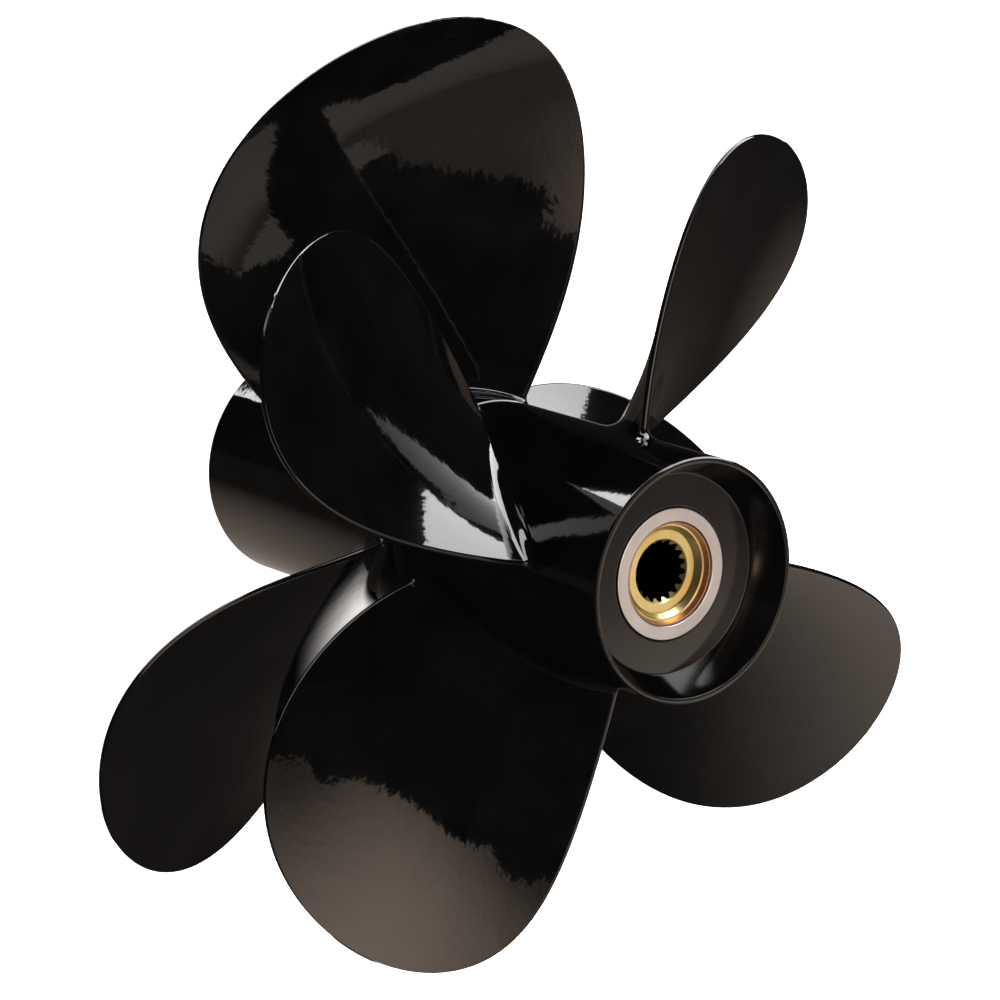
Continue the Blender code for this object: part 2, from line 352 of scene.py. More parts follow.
class EffectGroups:
    """The node groups that several finishes share, each built once.

    A recipe gives what draws a group, its number inputs with their defaults, and its number outputs.
    """

    BROAD_SHARE = 0.75
    SPECK_SIZE = 0.12
    FILM_SCALE = 35.0
    SHADE_SCALE = 900.0

    def __init__(self) -> None:
        """Lists the recipes, with none built."""
        self._built: dict[str, NodeTree] = {}
        self._recipes = {
            "orange_peel": (self._draw_orange_peel, {"Cells": 300.0, "Waves": 40.0}, ("Height",)),
            "dust": (self._draw_dust, {"Specks": 900.0, "Amount": 0.2}, ("Specks", "Film")),
            "turned_marks": (self._draw_turned_marks, {"Marks": 4000.0}, ("Height", "Shade")),
        }

    def get(self, name: str) -> NodeTree:
        """Gives a group, and builds it the first time.

        Args:
            name: The group's name, as in the recipes.

        Returns:
            The group, which has a Vector input before its number inputs.
        """
        if name not in self._built:
            draw, inputs, outputs = self._recipes[name]
            tree = bpy.data.node_groups.new(name, "ShaderNodeTree")
            tree.interface.new_socket("Vector", in_out="INPUT", socket_type="NodeSocketVector")
            for key, default in inputs.items():
                socket = tree.interface.new_socket(key, in_out="INPUT", socket_type="NodeSocketFloat")
                socket.default_value = default
            for key in outputs:
                tree.interface.new_socket(key, in_out="OUTPUT", socket_type="NodeSocketFloat")
            draw(NodeSheet(tree), tree.nodes.new("NodeGroupInput"), tree.nodes.new("NodeGroupOutput"))
            self._built[name] = tree
        return self._built[name]

    @classmethod
    def _draw_orange_peel(cls, sheet: NodeSheet, start: Node, end: Node) -> None:
        """The soft ripple of sprayed paint, as a height from 0 to 1: two sizes of noise."""
        fine, broad = (
            sheet.add("ShaderNodeTexNoise", {"Vector": start.outputs["Vector"],
                                             "Scale": start.outputs[scale], "Detail": 1.0})
            for scale in ("Cells", "Waves")
        )
        fine_part = sheet.math("MULTIPLY", fine.outputs["Fac"], 1.0 - cls.BROAD_SHARE)
        total = sheet.math("MULTIPLY_ADD", broad.outputs["Fac"], cls.BROAD_SHARE, fine_part)
        sheet.feed(end.inputs["Height"], total)

    @classmethod
    def _draw_dust(cls, sheet: NodeSheet, start: Node, end: Node) -> None:
        """Sparse fine specks from cells, and a cloudy film from noise, as masks."""
        cells = sheet.add("ShaderNodeTexVoronoi", {"Vector": start.outputs["Vector"],
                                                   "Scale": start.outputs["Specks"]})
        spot = sheet.math("LESS_THAN", cells.outputs["Distance"], cls.SPECK_SIZE)
        chance = sheet.add("ShaderNodeSeparateColor", {"Color": cells.outputs["Color"]})
        rare = sheet.math("LESS_THAN", chance.outputs["Red"], start.outputs["Amount"])
        sheet.feed(end.inputs["Specks"], sheet.math("MULTIPLY", spot, rare))
        film = sheet.add("ShaderNodeTexNoise", {"Vector": start.outputs["Vector"], "Scale": cls.FILM_SCALE,
                                                "Detail": 5.0, "Roughness": 0.6})
        sheet.feed(end.inputs["Film"], film.outputs["Fac"])

    @classmethod
    def _draw_turned_marks(cls, sheet: NodeSheet, start: Node, end: Node) -> None:
        """Concentric tool marks round the shaft axis, or along it on upright faces."""
        vector = start.outputs["Vector"]
        height = sheet.add("ShaderNodeSeparateXYZ", {"Vector": vector}).outputs["Z"]
        place = sheet.math("ADD", sheet.radius(vector), height)
        layers = {"Height": (start.outputs["Marks"], 3.0), "Shade": (cls.SHADE_SCALE, 2.0)}
        for name, (scale, detail) in layers.items():
            noise = sheet.add("ShaderNodeTexNoise", {"W": place, "Scale": scale, "Detail": detail},
                              noise_dimensions="1D")
            sheet.feed(end.inputs[name], noise.outputs["Fac"])


@dataclass(frozen=True)
class Finish:
    """What every finish has: a name, and a material with its own shader."""

    name: str

    def build(self, groups: EffectGroups) -> Material:
        """Makes the material."""
        material = bpy.data.materials.new(self.name)
        material.use_nodes = True
        sheet = NodeSheet(material.node_tree)
        shader = material.node_tree.nodes["Principled BSDF"]
        place = sheet.add("ShaderNodeTexCoord").outputs["Object"]
        self.draw(sheet, shader, place, groups)
        return material

    def draw(self, sheet: NodeSheet, shader: Node, place: NodeSocket, groups: EffectGroups) -> None:
        """Lays out the nodes between the object coordinates and the shader."""
        raise NotImplementedError


@dataclass(frozen=True)
class GlossPaint(Finish):
    """Deep gloss enamel sprayed over a casting."""

    deep: Colour
    worn: Colour
    roughness: Flat
    peel_height: float
    cells: float
    waves: float
    dust_amount: float
    cup_radius: float
    cup_gloss: float
    cup_calm: float

    SPECK_ROUGHNESS = 0.25
    CUP_EASE = 0.0008
    FILM_RANGE = (0.35, 0.75)

    def draw(self, sheet: NodeSheet, shader: Node, place: NodeSocket, groups: EffectGroups) -> None:
        """Colour and gloss vary with the film of dust, and the peel ripples the reflections.

        Inside the cups, which were machined before painting, the coat is calmer and less glossy.
        """
        dust = sheet.group(groups.get("dust"), place, Amount=self.dust_amount)
        stops = list(zip(self.FILM_RANGE, (self.deep, self.worn)))
        sheet.feed(shader.inputs["Base Color"], sheet.ramp(dust.outputs["Film"], stops))
        gloss = sheet.spread(dust.outputs["Film"], *self.roughness)
        rough = sheet.math("MULTIPLY_ADD", dust.outputs["Specks"], self.SPECK_ROUGHNESS, gloss)
        inside = sheet.mask(sheet.radius(place), self.cup_radius + self.CUP_EASE, self.cup_radius)
        rough = sheet.math("MULTIPLY_ADD", inside, self.cup_gloss, rough)
        sheet.feed(shader.inputs["Roughness"], rough)
        peel = sheet.group(groups.get("orange_peel"), place, Cells=self.cells, Waves=self.waves)
        calm = sheet.spread(inside, 1.0, self.cup_calm)
        height = sheet.math("MULTIPLY", peel.outputs["Height"], calm)
        sheet.ripple(shader, height, self.peel_height)


@dataclass(frozen=True)
class Zone:
    """A part of a turned piece that has another tint, by its distance from the shaft axis.

    A zone with a cone starts only behind the chamfer that meets the end face at this height.
    """

    start: float
    full: float
    tint: Colour
    roughness: float
    cone_height: float | None = None
    cone_way: float = 1.0

    CONE_EASE = (0.00005, 0.0002)

    def mask(self, sheet: NodeSheet, place: NodeSocket) -> NodeSocket:
        """Lays out the zone's mask at these object coordinates."""
        radius = sheet.radius(place)
        mask = sheet.mask(radius, self.start, self.full)
        if self.cone_height is None:
            return mask
        height = sheet.add("ShaderNodeSeparateXYZ", {"Vector": place}).outputs["Z"]
        depth = sheet.math("MULTIPLY", sheet.math("SUBTRACT", self.cone_height, height), self.cone_way)
        behind = sheet.math("SUBTRACT", depth, sheet.math("SUBTRACT", self.start, radius))
        return sheet.math("MULTIPLY", mask, sheet.mask(behind, *self.CONE_EASE))


@dataclass(frozen=True)
class PlatedSteel(Finish):
    """Plated steel with fine turned marks and a tint that drifts."""

    tints: tuple[tuple[float, Colour], ...]
    tint_scale: float
    roughness: Flat
    mark_height: float
    marks: float
    zones: tuple[Zone, ...] = ()

    SHADE_WEIGHT = 0.35
    TINT_SHIFT = 0.17

    def draw(self, sheet: NodeSheet, shader: Node, place: NodeSocket, groups: EffectGroups) -> None:
        """The tint follows noise, the tool marks and the zones, and the marks ripple the surface."""
        turned = sheet.group(groups.get("turned_marks"), place, Marks=self.marks)
        shade = turned.outputs["Shade"]
        drift = sheet.add("ShaderNodeTexNoise", {"Vector": place, "Scale": self.tint_scale, "Detail": 4.0})
        tint = sheet.math("MULTIPLY_ADD", shade, self.SHADE_WEIGHT, drift.outputs["Fac"])
        colour = sheet.ramp(sheet.math("SUBTRACT", tint, self.TINT_SHIFT), self.tints)
        rough = sheet.spread(shade, *self.roughness)
        for zone in self.zones:
            mask = zone.mask(sheet, place)
            colour = sheet.blend(mask, colour, zone.tint)
            rough = sheet.math("MULTIPLY_ADD", mask, zone.roughness, rough)
        sheet.feed(shader.inputs["Base Color"], colour)
        sheet.feed(shader.inputs["Roughness"], rough)
        shader.inputs["Metallic"].default_value = 1.0
        sheet.ripple(shader, turned.outputs["Height"], self.mark_height)


@dataclass(frozen=True)
class PaleFloor(Finish):
    """A plain pale studio floor."""

    light: Colour
    dark: Colour
    roughness: float = 0.9
    specular: float = 0.1

    def draw(self, sheet: NodeSheet, shader: Node, place: NodeSocket, groups: EffectGroups) -> None:
        """A faint cloudiness, so that it isn't one flat colour."""
        cloud = sheet.add("ShaderNodeTexNoise", {"Vector": place, "Scale": 2.0, "Detail": 3.0})
        colour = sheet.ramp(cloud.outputs["Fac"], [(0.3, self.dark), (0.7, self.light)])
        sheet.feed(shader.inputs["Base Color"], colour)
        shader.inputs["Roughness"].default_value = self.roughness
        shader.inputs["Specular IOR Level"].default_value = self.specular


BLACK_PAINT = GlossPaint(
    name="gloss_black_enamel",
    deep=(0.0006, 0.0006, 0.0007),
    worn=(0.0016, 0.0015, 0.0015),
    roughness=(0.03, 0.07),
    peel_height=0.0001,
    cells=300.0,
    waves=60.0,
    dust_amount=0.02,
    cup_radius=0.0478,
    cup_gloss=0.06,
    cup_calm=0.15,
)
PALE_PLATE = PlatedSteel(
    name="pale_zinc_plate",
    tints=((0.3, (0.58, 0.60, 0.64)), (0.7, (0.70, 0.72, 0.76))),
    tint_scale=60.0,
    roughness=(0.28, 0.42),
    mark_height=0.000006,
    marks=4000.0,
)
YELLOW_PLATE = PlatedSteel(
    name="yellow_chromate_plate",
    tints=((0.25, (0.74, 0.57, 0.20)), (0.5, (0.84, 0.74, 0.33)), (0.75, (0.87, 0.82, 0.50))),
    tint_scale=90.0,
    roughness=(0.24, 0.40),
    mark_height=0.000008,
    marks=3000.0,
)
# Painted shade: the red-brown tint of the seat's sloped wall.
SEAT_WALL_PAINTED_SHADE = (0.80, 0.47, 0.31)
# A dark tint for the bore behind its mouth chamfer.
BORE_DARK_TINT = (0.012, 0.009, 0.006)
FLOOR_FINISH = PaleFloor(name="pale_floor", light=(0.86, 0.86, 0.86), dark=(0.83, 0.83, 0.83))


class Paintshop:
    """Makes each finish once and dresses pieces in it."""

    FINISHES = {Slot.BLACK: BLACK_PAINT, Slot.PALE: PALE_PLATE, Slot.YELLOW: YELLOW_PLATE}

    def __init__(self) -> None:
        """Builds the slots' materials."""
        self.groups = EffectGroups()
        self.materials = {slot: finish.build(self.groups) for slot, finish in self.FINISHES.items()}

    def dress(self, obj: Object, slot: Slot, body: Body, *nodes: str,
              finish: Finish | None = None) -> None:
        """Gives a piece its finish, its body and the CAD nodes that it stands for.

        Args:
            obj: The piece.
            slot: The record's material slot.
            body: The body it rides on.
            nodes: The CAD nodes it replaces.
            finish: The piece's own variant of the slot's finish, if it has one.
        """
        obj.data.materials.clear()
        obj.data.materials.append(finish.build(self.groups) if finish else self.materials[slot])
        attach(obj, body.value)
        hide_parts(*nodes)
        LOG.info("%s: %d faces, for %s", obj.name, len(obj.data.polygons), ", ".join(nodes))


# ---- hubs


@dataclass
class HubCasting:
    """One propeller's hub: the tube, the cup and the body round the sleeve, in one turned skin."""

    prefix: str
    body: Body
    cup_end: float
    inner_end: float
    sleeve_radius: float
    rim_chamfer: float = 0.0006
    mouth_radius: float = 0.0476
    floor_radius: float = 0.0412
    end_recess: float = 0.008

    LIP, SHOULDER, CUP_EDGE, CUP_ROOT = 0.0002, 0.0004, 0.0003, 0.0006
    SOCKET_EDGE, SOCKET_ROOT, BORE_EDGE, POCKET_EDGE = 0.0005, 0.001, 0.0004, 0.0003

    def corners(self) -> list[Corner]:
        """The closed profile, from the rim along the outside and back through the bore and the cup."""
        way = 1.0 if self.cup_end > self.inner_end else -1.0
        bore = self.sleeve_radius + FIT_GAP
        pocket_wall = bore + FLANGE_WIDTH + FIT_GAP
        pocket = self.cup_end - way * (CUP_DEPTH + FLANGE_HEIGHT - FLANGE_PROUD + FIT_GAP)
        floor = self.cup_end - way * CUP_DEPTH
        back = self.inner_end + way * self.end_recess
        lip = HUB_RADIUS - self.rim_chamfer
        return [
            Corner(lip, self.cup_end, self.LIP),
            Corner(HUB_RADIUS, self.cup_end - way * self.rim_chamfer, self.SHOULDER),
            Corner(HUB_RADIUS, self.inner_end + way * self.rim_chamfer, self.SHOULDER),
            Corner(lip, self.inner_end, self.LIP),
            Corner(self.floor_radius, self.inner_end, self.SOCKET_EDGE),
            Corner(self.floor_radius, back, self.SOCKET_ROOT),
            Corner(bore, back, self.BORE_EDGE),
            Corner(bore, pocket),
            Corner(pocket_wall, pocket),
            Corner(pocket_wall, floor, self.POCKET_EDGE),
            Corner(self.floor_radius, floor, self.CUP_ROOT),
            Corner(self.mouth_radius, self.cup_end, self.CUP_EDGE),
        ]

    def build(self, shop: Paintshop) -> None:
        """Turns the hub and dresses it."""
        hub = TurnedRing(f"{self.prefix}_hub", self.corners()).build()
        shop.dress(hub, Slot.BLACK, self.body, f"{self.prefix}_barrel", f"{self.prefix}_hub_core")


# ---- blades


@dataclass(frozen=True)
class Station:
    """What a blade's section needs to be placed at one share of the span."""

    radius: float
    half: float
    skew: float
    rake: float
    lead: float
    thickness: float
    fade: float
    edge: float


@dataclass(frozen=True)
class BladeForm:
    """One propeller's blade, as series in its span x, which is 0 at the root and 1 at the tip.

    Half chord and skew are lengths along the helix. Half chord starts with its root value. Skew starts
    with the factor of x. Pitch is a value at half span, then a slope and a curve about it. Rake is a
    height for each metre, square metre and cubic metre outside the hub.
    """

    hand: int
    count: int
    first_azimuth: float
    pitch: tuple[float, float, float]
    tip_radius: float
    height: float
    rake: tuple[float, float, float]
    half_chord: tuple[float, float, float, float]
    skew: tuple[float, float, float, float]
    tip_power: float
    root_thickness: float = 0.0110
    tip_thickness: float = 0.0030
    root_edge: float = 0.0032
    tip_edge: float = 0.0021
    face_share: float = 0.15
    thinning_power: float = 0.7
    fading_power: float = 0.4
    fullness_power: float = 2.4
    edge_power: float = 2.0

    ROOT_RADIUS = HUB_RADIUS + 0.0006

    def station(self, share: float, radius: float | None = None) -> Station:
        """Works out one station.

        Args:
            share: Share of the span, at least 0.
            radius: Its radius, if that isn't the share's own.

        Returns:
            The station.
        """
        if radius is None:
            radius = self.ROOT_RADIUS + (self.tip_radius - self.ROOT_RADIUS) * share
        width = sum(k * share**power for power, k in enumerate(self.half_chord))
        narrowing = max(0.0, 1.0 - share**self.tip_power)
        out = max(0.0, radius - HUB_RADIUS)
        pitch = sum(k * (share - 0.5) ** power for power, k in enumerate(self.pitch))
        thinning = (self.root_thickness - self.tip_thickness) * share**self.thinning_power
        edge_growth = self.root_edge - self.tip_edge
        return Station(
            radius=radius,
            half=width * math.sqrt(narrowing),
            skew=sum(k * share ** (power + 1) for power, k in enumerate(self.skew)),
            rake=sum(k * out ** (power + 1) for power, k in enumerate(self.rake)),
            lead=pitch / math.tau,
            thickness=self.root_thickness - thinning,
            fade=narrowing**self.fading_power,
            edge=self.tip_edge + edge_growth * max(0.0, 1.0 - share) ** self.edge_power,
        )

    def wrapped(self, at: Station, spot: Flat) -> Point:
        """Places a point of a section on its cylinder.

        Args:
            at: The station.
            spot: Its length along the helix and its height off it.

        Returns:
            The point, for a blade whose root points along +X.
        """
        length, offset = spot
        helix = math.hypot(at.radius, at.lead)
        angle = length / helix - self.hand * offset * at.lead / helix / at.radius
        height = self.height + at.rake + self.hand * at.lead * length / helix
        height += offset * at.radius / helix
        return at.radius * math.cos(angle), at.radius * math.sin(angle), height


@dataclass
class CastBlade:
    """One propeller's blades: one is modelled as a loft, and the others are copies of it.

    The root fillet has one radius at mid chord and another at the leading and trailing ends.
    """

    form: BladeForm
    prefix: str
    body: Body
    fillet: float
    end_fillet: float

    CHORD_POINTS = 44
    NOSE_POINTS = 5
    STATIONS = 60
    LAST_STATION = 0.996
    TIP_TURNS = (math.radians(30.0), math.radians(55.0), math.radians(75.0))
    FILLET_RINGS = 9
    FILLET_POWER = 4
    SINK = 0.0015
    LIFT = 0.00001
    SMOOTH = math.radians(34.0)

    def _chord_places(self) -> list[float]:
        """Places from leading (-1) to trailing edge (1), closer together near both."""
        last = self.CHORD_POINTS - 1
        return [-math.cos(math.pi * number / last) for number in range(self.CHORD_POINTS)]

    def section(self, at: Station) -> tuple[list[Flat], list[float]]:
        """Draws one section.

        Args:
            at: The station.

        Returns:
            The outline as (length, offset), round the face, the trailing edge, the back and the nose, and
            each point's place along the chord.
        """
        form, edge = self.form, at.edge
        face, back, places = [], [], self._chord_places()
        for place in places:
            body = (1 - abs(place) ** form.fullness_power) * (at.thickness - edge) * at.fade
            length = at.skew + form.hand * (at.half * place - edge / 4 * (1 + place))
            face.append((length, body * form.face_share + edge / 2))
            back.append((length, -body * (1 - form.face_share) - edge / 2))
        nose, tail = [], []
        for number in range(1, self.NOSE_POINTS + 1):
            angle = math.pi * (number / (self.NOSE_POINTS + 1) - 0.5)
            reach, side = edge / 2 * math.cos(angle), edge / 2 * math.sin(angle)
            nose.append((at.skew - form.hand * (at.half + reach), side))
            tail.append((at.skew + form.hand * (at.half - edge / 2 + reach), -side))
        ends = [1.0] * self.NOSE_POINTS, [-1.0] * self.NOSE_POINTS
        return face + tail + back[::-1] + nose, places + ends[0] + places[::-1] + ends[1]

    def fillet_radius(self, place: float) -> float:
        """The root fillet's radius at one place along the chord."""
        return self.end_fillet + (self.fillet - self.end_fillet) * (1 - abs(place) ** self.FILLET_POWER)

    def root_ring(self, climb: float, sink: float) -> list[Point]:
        """A ring of the root fillet.

        Args:
            climb: How far up the fillet, from 0 on the hub to 1 on the blade.
            sink: How far the ring drops under its place, for the part inside the hub.

        Returns:
            The ring's points.
        """
        form, points = self.form, []
        angle = climb * math.pi / 2
        _, places = self.section(form.station(0.0))
        for number, place in enumerate(places):
            radius = self.fillet_radius(place)
            height = radius * (1 - math.cos(angle))
            spread = radius * (1 - math.sin(angle))
            hub_radius = HUB_RADIUS + self.LIFT + height - sink
            share = (hub_radius - form.ROOT_RADIUS) / (form.tip_radius - form.ROOT_RADIUS)
            at = form.station(max(0.0, share), hub_radius)
            outline, _ = self.section(at)
            before, after = outline[number - 1], outline[(number + 1) % len(outline)]
            along = Vector(after) - Vector(before)
            side = Vector((along.y, -along.x)).normalized() * -form.hand
            points.append(form.wrapped(at, tuple(Vector(outline[number]) + side * spread)))
        return points

    def rings(self) -> list[list[Point]]:
        """All rings, from inside the hub to the tip, each with its points in the same order."""
        rings = [self.root_ring(0.0, self.SINK)]
        rings += [self.root_ring(step / self.FILLET_RINGS, 0.0) for step in range(self.FILLET_RINGS + 1)]
        span = self.form.tip_radius - self.form.ROOT_RADIUS
        start = (HUB_RADIUS + self.fillet - self.form.ROOT_RADIUS) / span
        first = math.asin(start) / (math.pi / 2)
        for step in range(1, self.STATIONS):
            place = first + (self.LAST_STATION - first) * step / (self.STATIONS - 1)
            at = self.form.station(math.sin(math.pi / 2 * place))
            rings.append([self.form.wrapped(at, spot) for spot in self.section(at)[0]])
        return rings + [self.tip_ring(turn) for turn in self.TIP_TURNS]

    def tip_ring(self, turn: float) -> list[Point]:
        """A ring of the tip's rounded edge.

        Args:
            turn: How far round the edge, from 0 on the face to a quarter turn at the very tip.

        Returns:
            The ring's points.
        """
        at = self.form.station(self.LAST_STATION)
        reach, points = at.edge / 2, []
        for length, offset in self.section(at)[0]:
            share = min(1.0, abs(length - at.skew) / (at.half + reach))
            growth = reach * math.sin(turn) * math.sqrt(1 - share**2)
            end = replace(at, radius=at.radius + growth)
            shrink = 1 - reach * (1 - math.cos(turn)) / at.half
            spot = (at.skew + (length - at.skew) * shrink, offset * math.cos(turn))
            points.append(self.form.wrapped(end, spot))
        return points

    def build(self, shop: Paintshop) -> None:
        """Models a pattern and copies the blades from it."""
        first, *others = self.rings()
        loft = Loft(f"{self.prefix}_blade_pattern", first)
        for ring in others:
            loft.extend(ring)
        loft.cap_open_ends()
        pattern = close_skin(loft.obj, self.SMOOTH)
        for number in range(self.form.count):
            angle = self.form.first_azimuth + math.tau * number / self.form.count
            blade = turned_copy(pattern, f"{self.prefix}_cast_blade_{number + 1}", angle)
            shop.dress(blade, Slot.BLACK, self.body, f"{self.prefix}_blade_{number + 1}")
        bpy.data.objects.remove(pattern)


REAR_FORM = BladeForm(
    hand=1,
    count=4,
    first_azimuth=math.radians(65.2),
    pitch=(0.518, 0.062, -0.191),
    tip_radius=0.1883,
    height=0.1923,
    rake=(-0.185, 2.06, -4.50),
    half_chord=(0.0484, 0.0542, -0.0461, 0.0408),
    skew=(-0.0074, 0.0211, -0.0097, 0.0031),
    tip_power=3.3,
)
FRONT_FORM = BladeForm(
    hand=-1,
    count=3,
    first_azimuth=math.radians(90.0),
    pitch=(0.496, 0.186, -0.435),
    tip_radius=0.2077,
    height=0.0977,
    rake=(-0.234, -0.83, 14.71),
    half_chord=(0.0505, 0.0957, -0.0213, -0.0056),
    skew=(-0.0246, -0.0431, 0.0481, -0.0417),
    tip_power=2.4,
)


# ---- inserts


@dataclass
class SplinedInsert:
    """The plated parts in the middle of one hub: flange ring, seat ring and splined sleeve."""

    prefix: str
    body: Body
    cup_end: float
    sleeve_end: float
    teeth: int
    root_radius: float
    tooth_radius: float
    outer_radius: float
    turn: float = 0.0
    mouth_chamfer: float = 0.0005
    wall_thickness: float = 0.0006
    wall_slope: float = 0.0006
    ledge_depth: float = 0.0028
    ledge_width: float = 0.0008
    cone_width: float = 0.0022

    TOOTH_PLACES = (0.04, 0.14, 0.36, 0.46, 0.54, 0.62, 0.66, 0.75, 0.84, 0.88, 0.96)
    GROOVE_FLANK, TOOTH_FLANK = 0.09, 0.11
    CHAMFER_RINGS = 6
    SMOOTH = math.radians(25.0)
    FLANGE_EDGE, FLANGE_FOOT = 0.0005, 0.0003
    SEAT_EDGE, LEDGE_EDGE = 0.0001, 0.0002
    WALL_EASE = (0.0003, 0.0001)
    WALL_ROUGHNESS = 0.05
    BORE_EASE = 0.0001
    BORE_ROUGHNESS = 0.25

    @property
    def way(self) -> float:
        """1 where the cup faces up, and -1 where it faces down."""
        return 1.0 if self.cup_end > self.sleeve_end else -1.0

    @property
    def face(self) -> float:
        """Height of the cup's floor."""
        return self.cup_end - self.way * CUP_DEPTH

    @property
    def sleeve_top(self) -> float:
        """Height of the sleeve's end face, just under the seat ring."""
        return self.face - self.way * (SEAT_DEPTH + FIT_GAP)

    @property
    def mouth(self) -> float:
        """Radius of the bore's chamfered mouth."""
        return self.root_radius + self.mouth_chamfer

    @property
    def ledge_outer(self) -> float:
        """Radius where the seat's sloped wall meets its ledge."""
        return self.outer_radius - self.wall_thickness - self.wall_slope

    def flange(self) -> Object:
        """Turns the pale flange ring, which stands slightly proud of the cup's floor."""
        inner = self.outer_radius + FIT_GAP
        outer = inner + FLANGE_WIDTH
        top = self.face + self.way * FLANGE_PROUD
        bottom = top - self.way * FLANGE_HEIGHT
        corners = [Corner(outer, top, self.FLANGE_EDGE), Corner(outer, bottom, self.FLANGE_FOOT),
                   Corner(inner, bottom, self.FLANGE_FOOT), Corner(inner, top, self.FLANGE_EDGE)]
        return TurnedRing(f"{self.prefix}_plated_flange", corners).build()

    def seat(self) -> Object:
        """Turns the stepped recess that a shaft nut's washer centres in."""
        bottom = self.face - self.way * SEAT_DEPTH
        ledge = self.face - self.way * self.ledge_depth
        ledge_inner = self.ledge_outer - self.ledge_width
        corners = [
            Corner(self.outer_radius, self.face, self.SEAT_EDGE),
            Corner(self.outer_radius, bottom),
            Corner(ledge_inner - self.cone_width, bottom, self.SEAT_EDGE),
            Corner(ledge_inner, ledge, self.LEDGE_EDGE),
            Corner(self.ledge_outer, ledge, self.LEDGE_EDGE),
            Corner(self.outer_radius - self.wall_thickness, self.face, self.SEAT_EDGE),
        ]
        return TurnedRing(f"{self.prefix}_stepped_seat", corners).build()

    def bore_radius(self, place: float) -> float:
        """The bore's radius at a place of one tooth's pitch, from 0 to 1: a groove, then a tooth."""
        if place < 0.5:
            drop = min(1.0, min(place, 0.5 - place) / self.GROOVE_FLANK)
        else:
            drop = -min(1.0, min(place - 0.5, 1.0 - place) / self.TOOTH_FLANK)
        middle = (self.root_radius + self.tooth_radius) / 2
        return middle + (self.root_radius - self.tooth_radius) / 2 * drop

    def sleeve(self) -> Object:
        """Lofts the sleeve: outside, end faces, chamfered mouth and splined bore."""
        places = [(tooth + place) / self.teeth for tooth in range(self.teeth) for place in self.TOOTH_PLACES]
        angles = [self.turn + math.tau * place for place in places]
        bore = [self.bore_radius(place * self.teeth % 1.0) for place in places]
        drop = self.mouth - self.tooth_radius

        def ring(radii: Sequence[float], height: float) -> list[Point]:
            """Points at these radii and one height."""
            return [(r * math.cos(a), r * math.sin(a), height) for r, a in zip(radii, angles)]

        outside = [self.outer_radius] * len(angles)
        rows = [(outside, self.sleeve_top), (outside, self.sleeve_end), (bore, self.sleeve_end)]
        for step in range(self.CHAMFER_RINGS + 1):
            deep = drop * (1 - step / self.CHAMFER_RINGS)
            cone = self.mouth - deep
            rows.append(([max(radius, cone) for radius in bore], self.sleeve_top - self.way * deep))
        rows.append((outside, self.sleeve_top))
        first, *others = [ring(*row) for row in rows]
        loft = Loft(f"{self.prefix}_splined_insert", first)
        for row in others:
            loft.extend(row)
        return close_skin(loft.obj, self.SMOOTH)

    def build(self, shop: Paintshop) -> None:
        """Makes and dresses the three pieces: the seat's sloped wall has a red-brown painted shade, and the
        bore is darker and rougher.
        """
        inside, outside = self.WALL_EASE
        # Painted shade: the seat's sloped wall is tinted red-brown.
        wall = Zone(self.ledge_outer - inside, self.ledge_outer + outside, SEAT_WALL_PAINTED_SHADE, self.WALL_ROUGHNESS)
        # The bore behind the mouth chamfer is tinted dark and made rougher.
        bore = Zone(self.mouth, self.mouth - self.BORE_EASE, BORE_DARK_TINT, self.BORE_ROUGHNESS,
                    cone_height=self.sleeve_top, cone_way=self.way)
        seat = replace(YELLOW_PLATE, name=f"{self.prefix}_seat_plate_painted_shade", zones=(wall,))
        sleeve = replace(YELLOW_PLATE, name=f"{self.prefix}_sleeve_plate", zones=(bore,))
        shop.dress(self.flange(), Slot.PALE, self.body, f"{self.prefix}_flange_ring")
        shop.dress(self.seat(), Slot.YELLOW, self.body, f"{self.prefix}_seat_ring", finish=seat)
        shop.dress(self.sleeve(), Slot.YELLOW, self.body, f"{self.prefix}_splined_sleeve", finish=sleeve)


# ---- studio


class TableFrame:
    """The tilted frame of the table that the photographed pair lay on. It places the reflector cards.

    Right and front are as the photographer stood, and up is off the table.
    """

    RIGHT = Vector((-0.14334, 0.77935, 0.60998))
    FRONT = Vector((0.55897, -0.44487, 0.69975))
    UP = Vector((-0.81671, -0.44126, 0.37186))

    @classmethod
    def spot(cls, right: float, front: float, up: float) -> Vector:
        """Turns a place over the table into a place in the part's frame."""
        return cls.RIGHT * right + cls.FRONT * front + cls.UP * up


@dataclass(frozen=True)
class Lobe:
    """A round patch of a card that is brighter than the rest: a painted pool of light in the reflections."""

    place: Flat
    radius: float
    strength: float


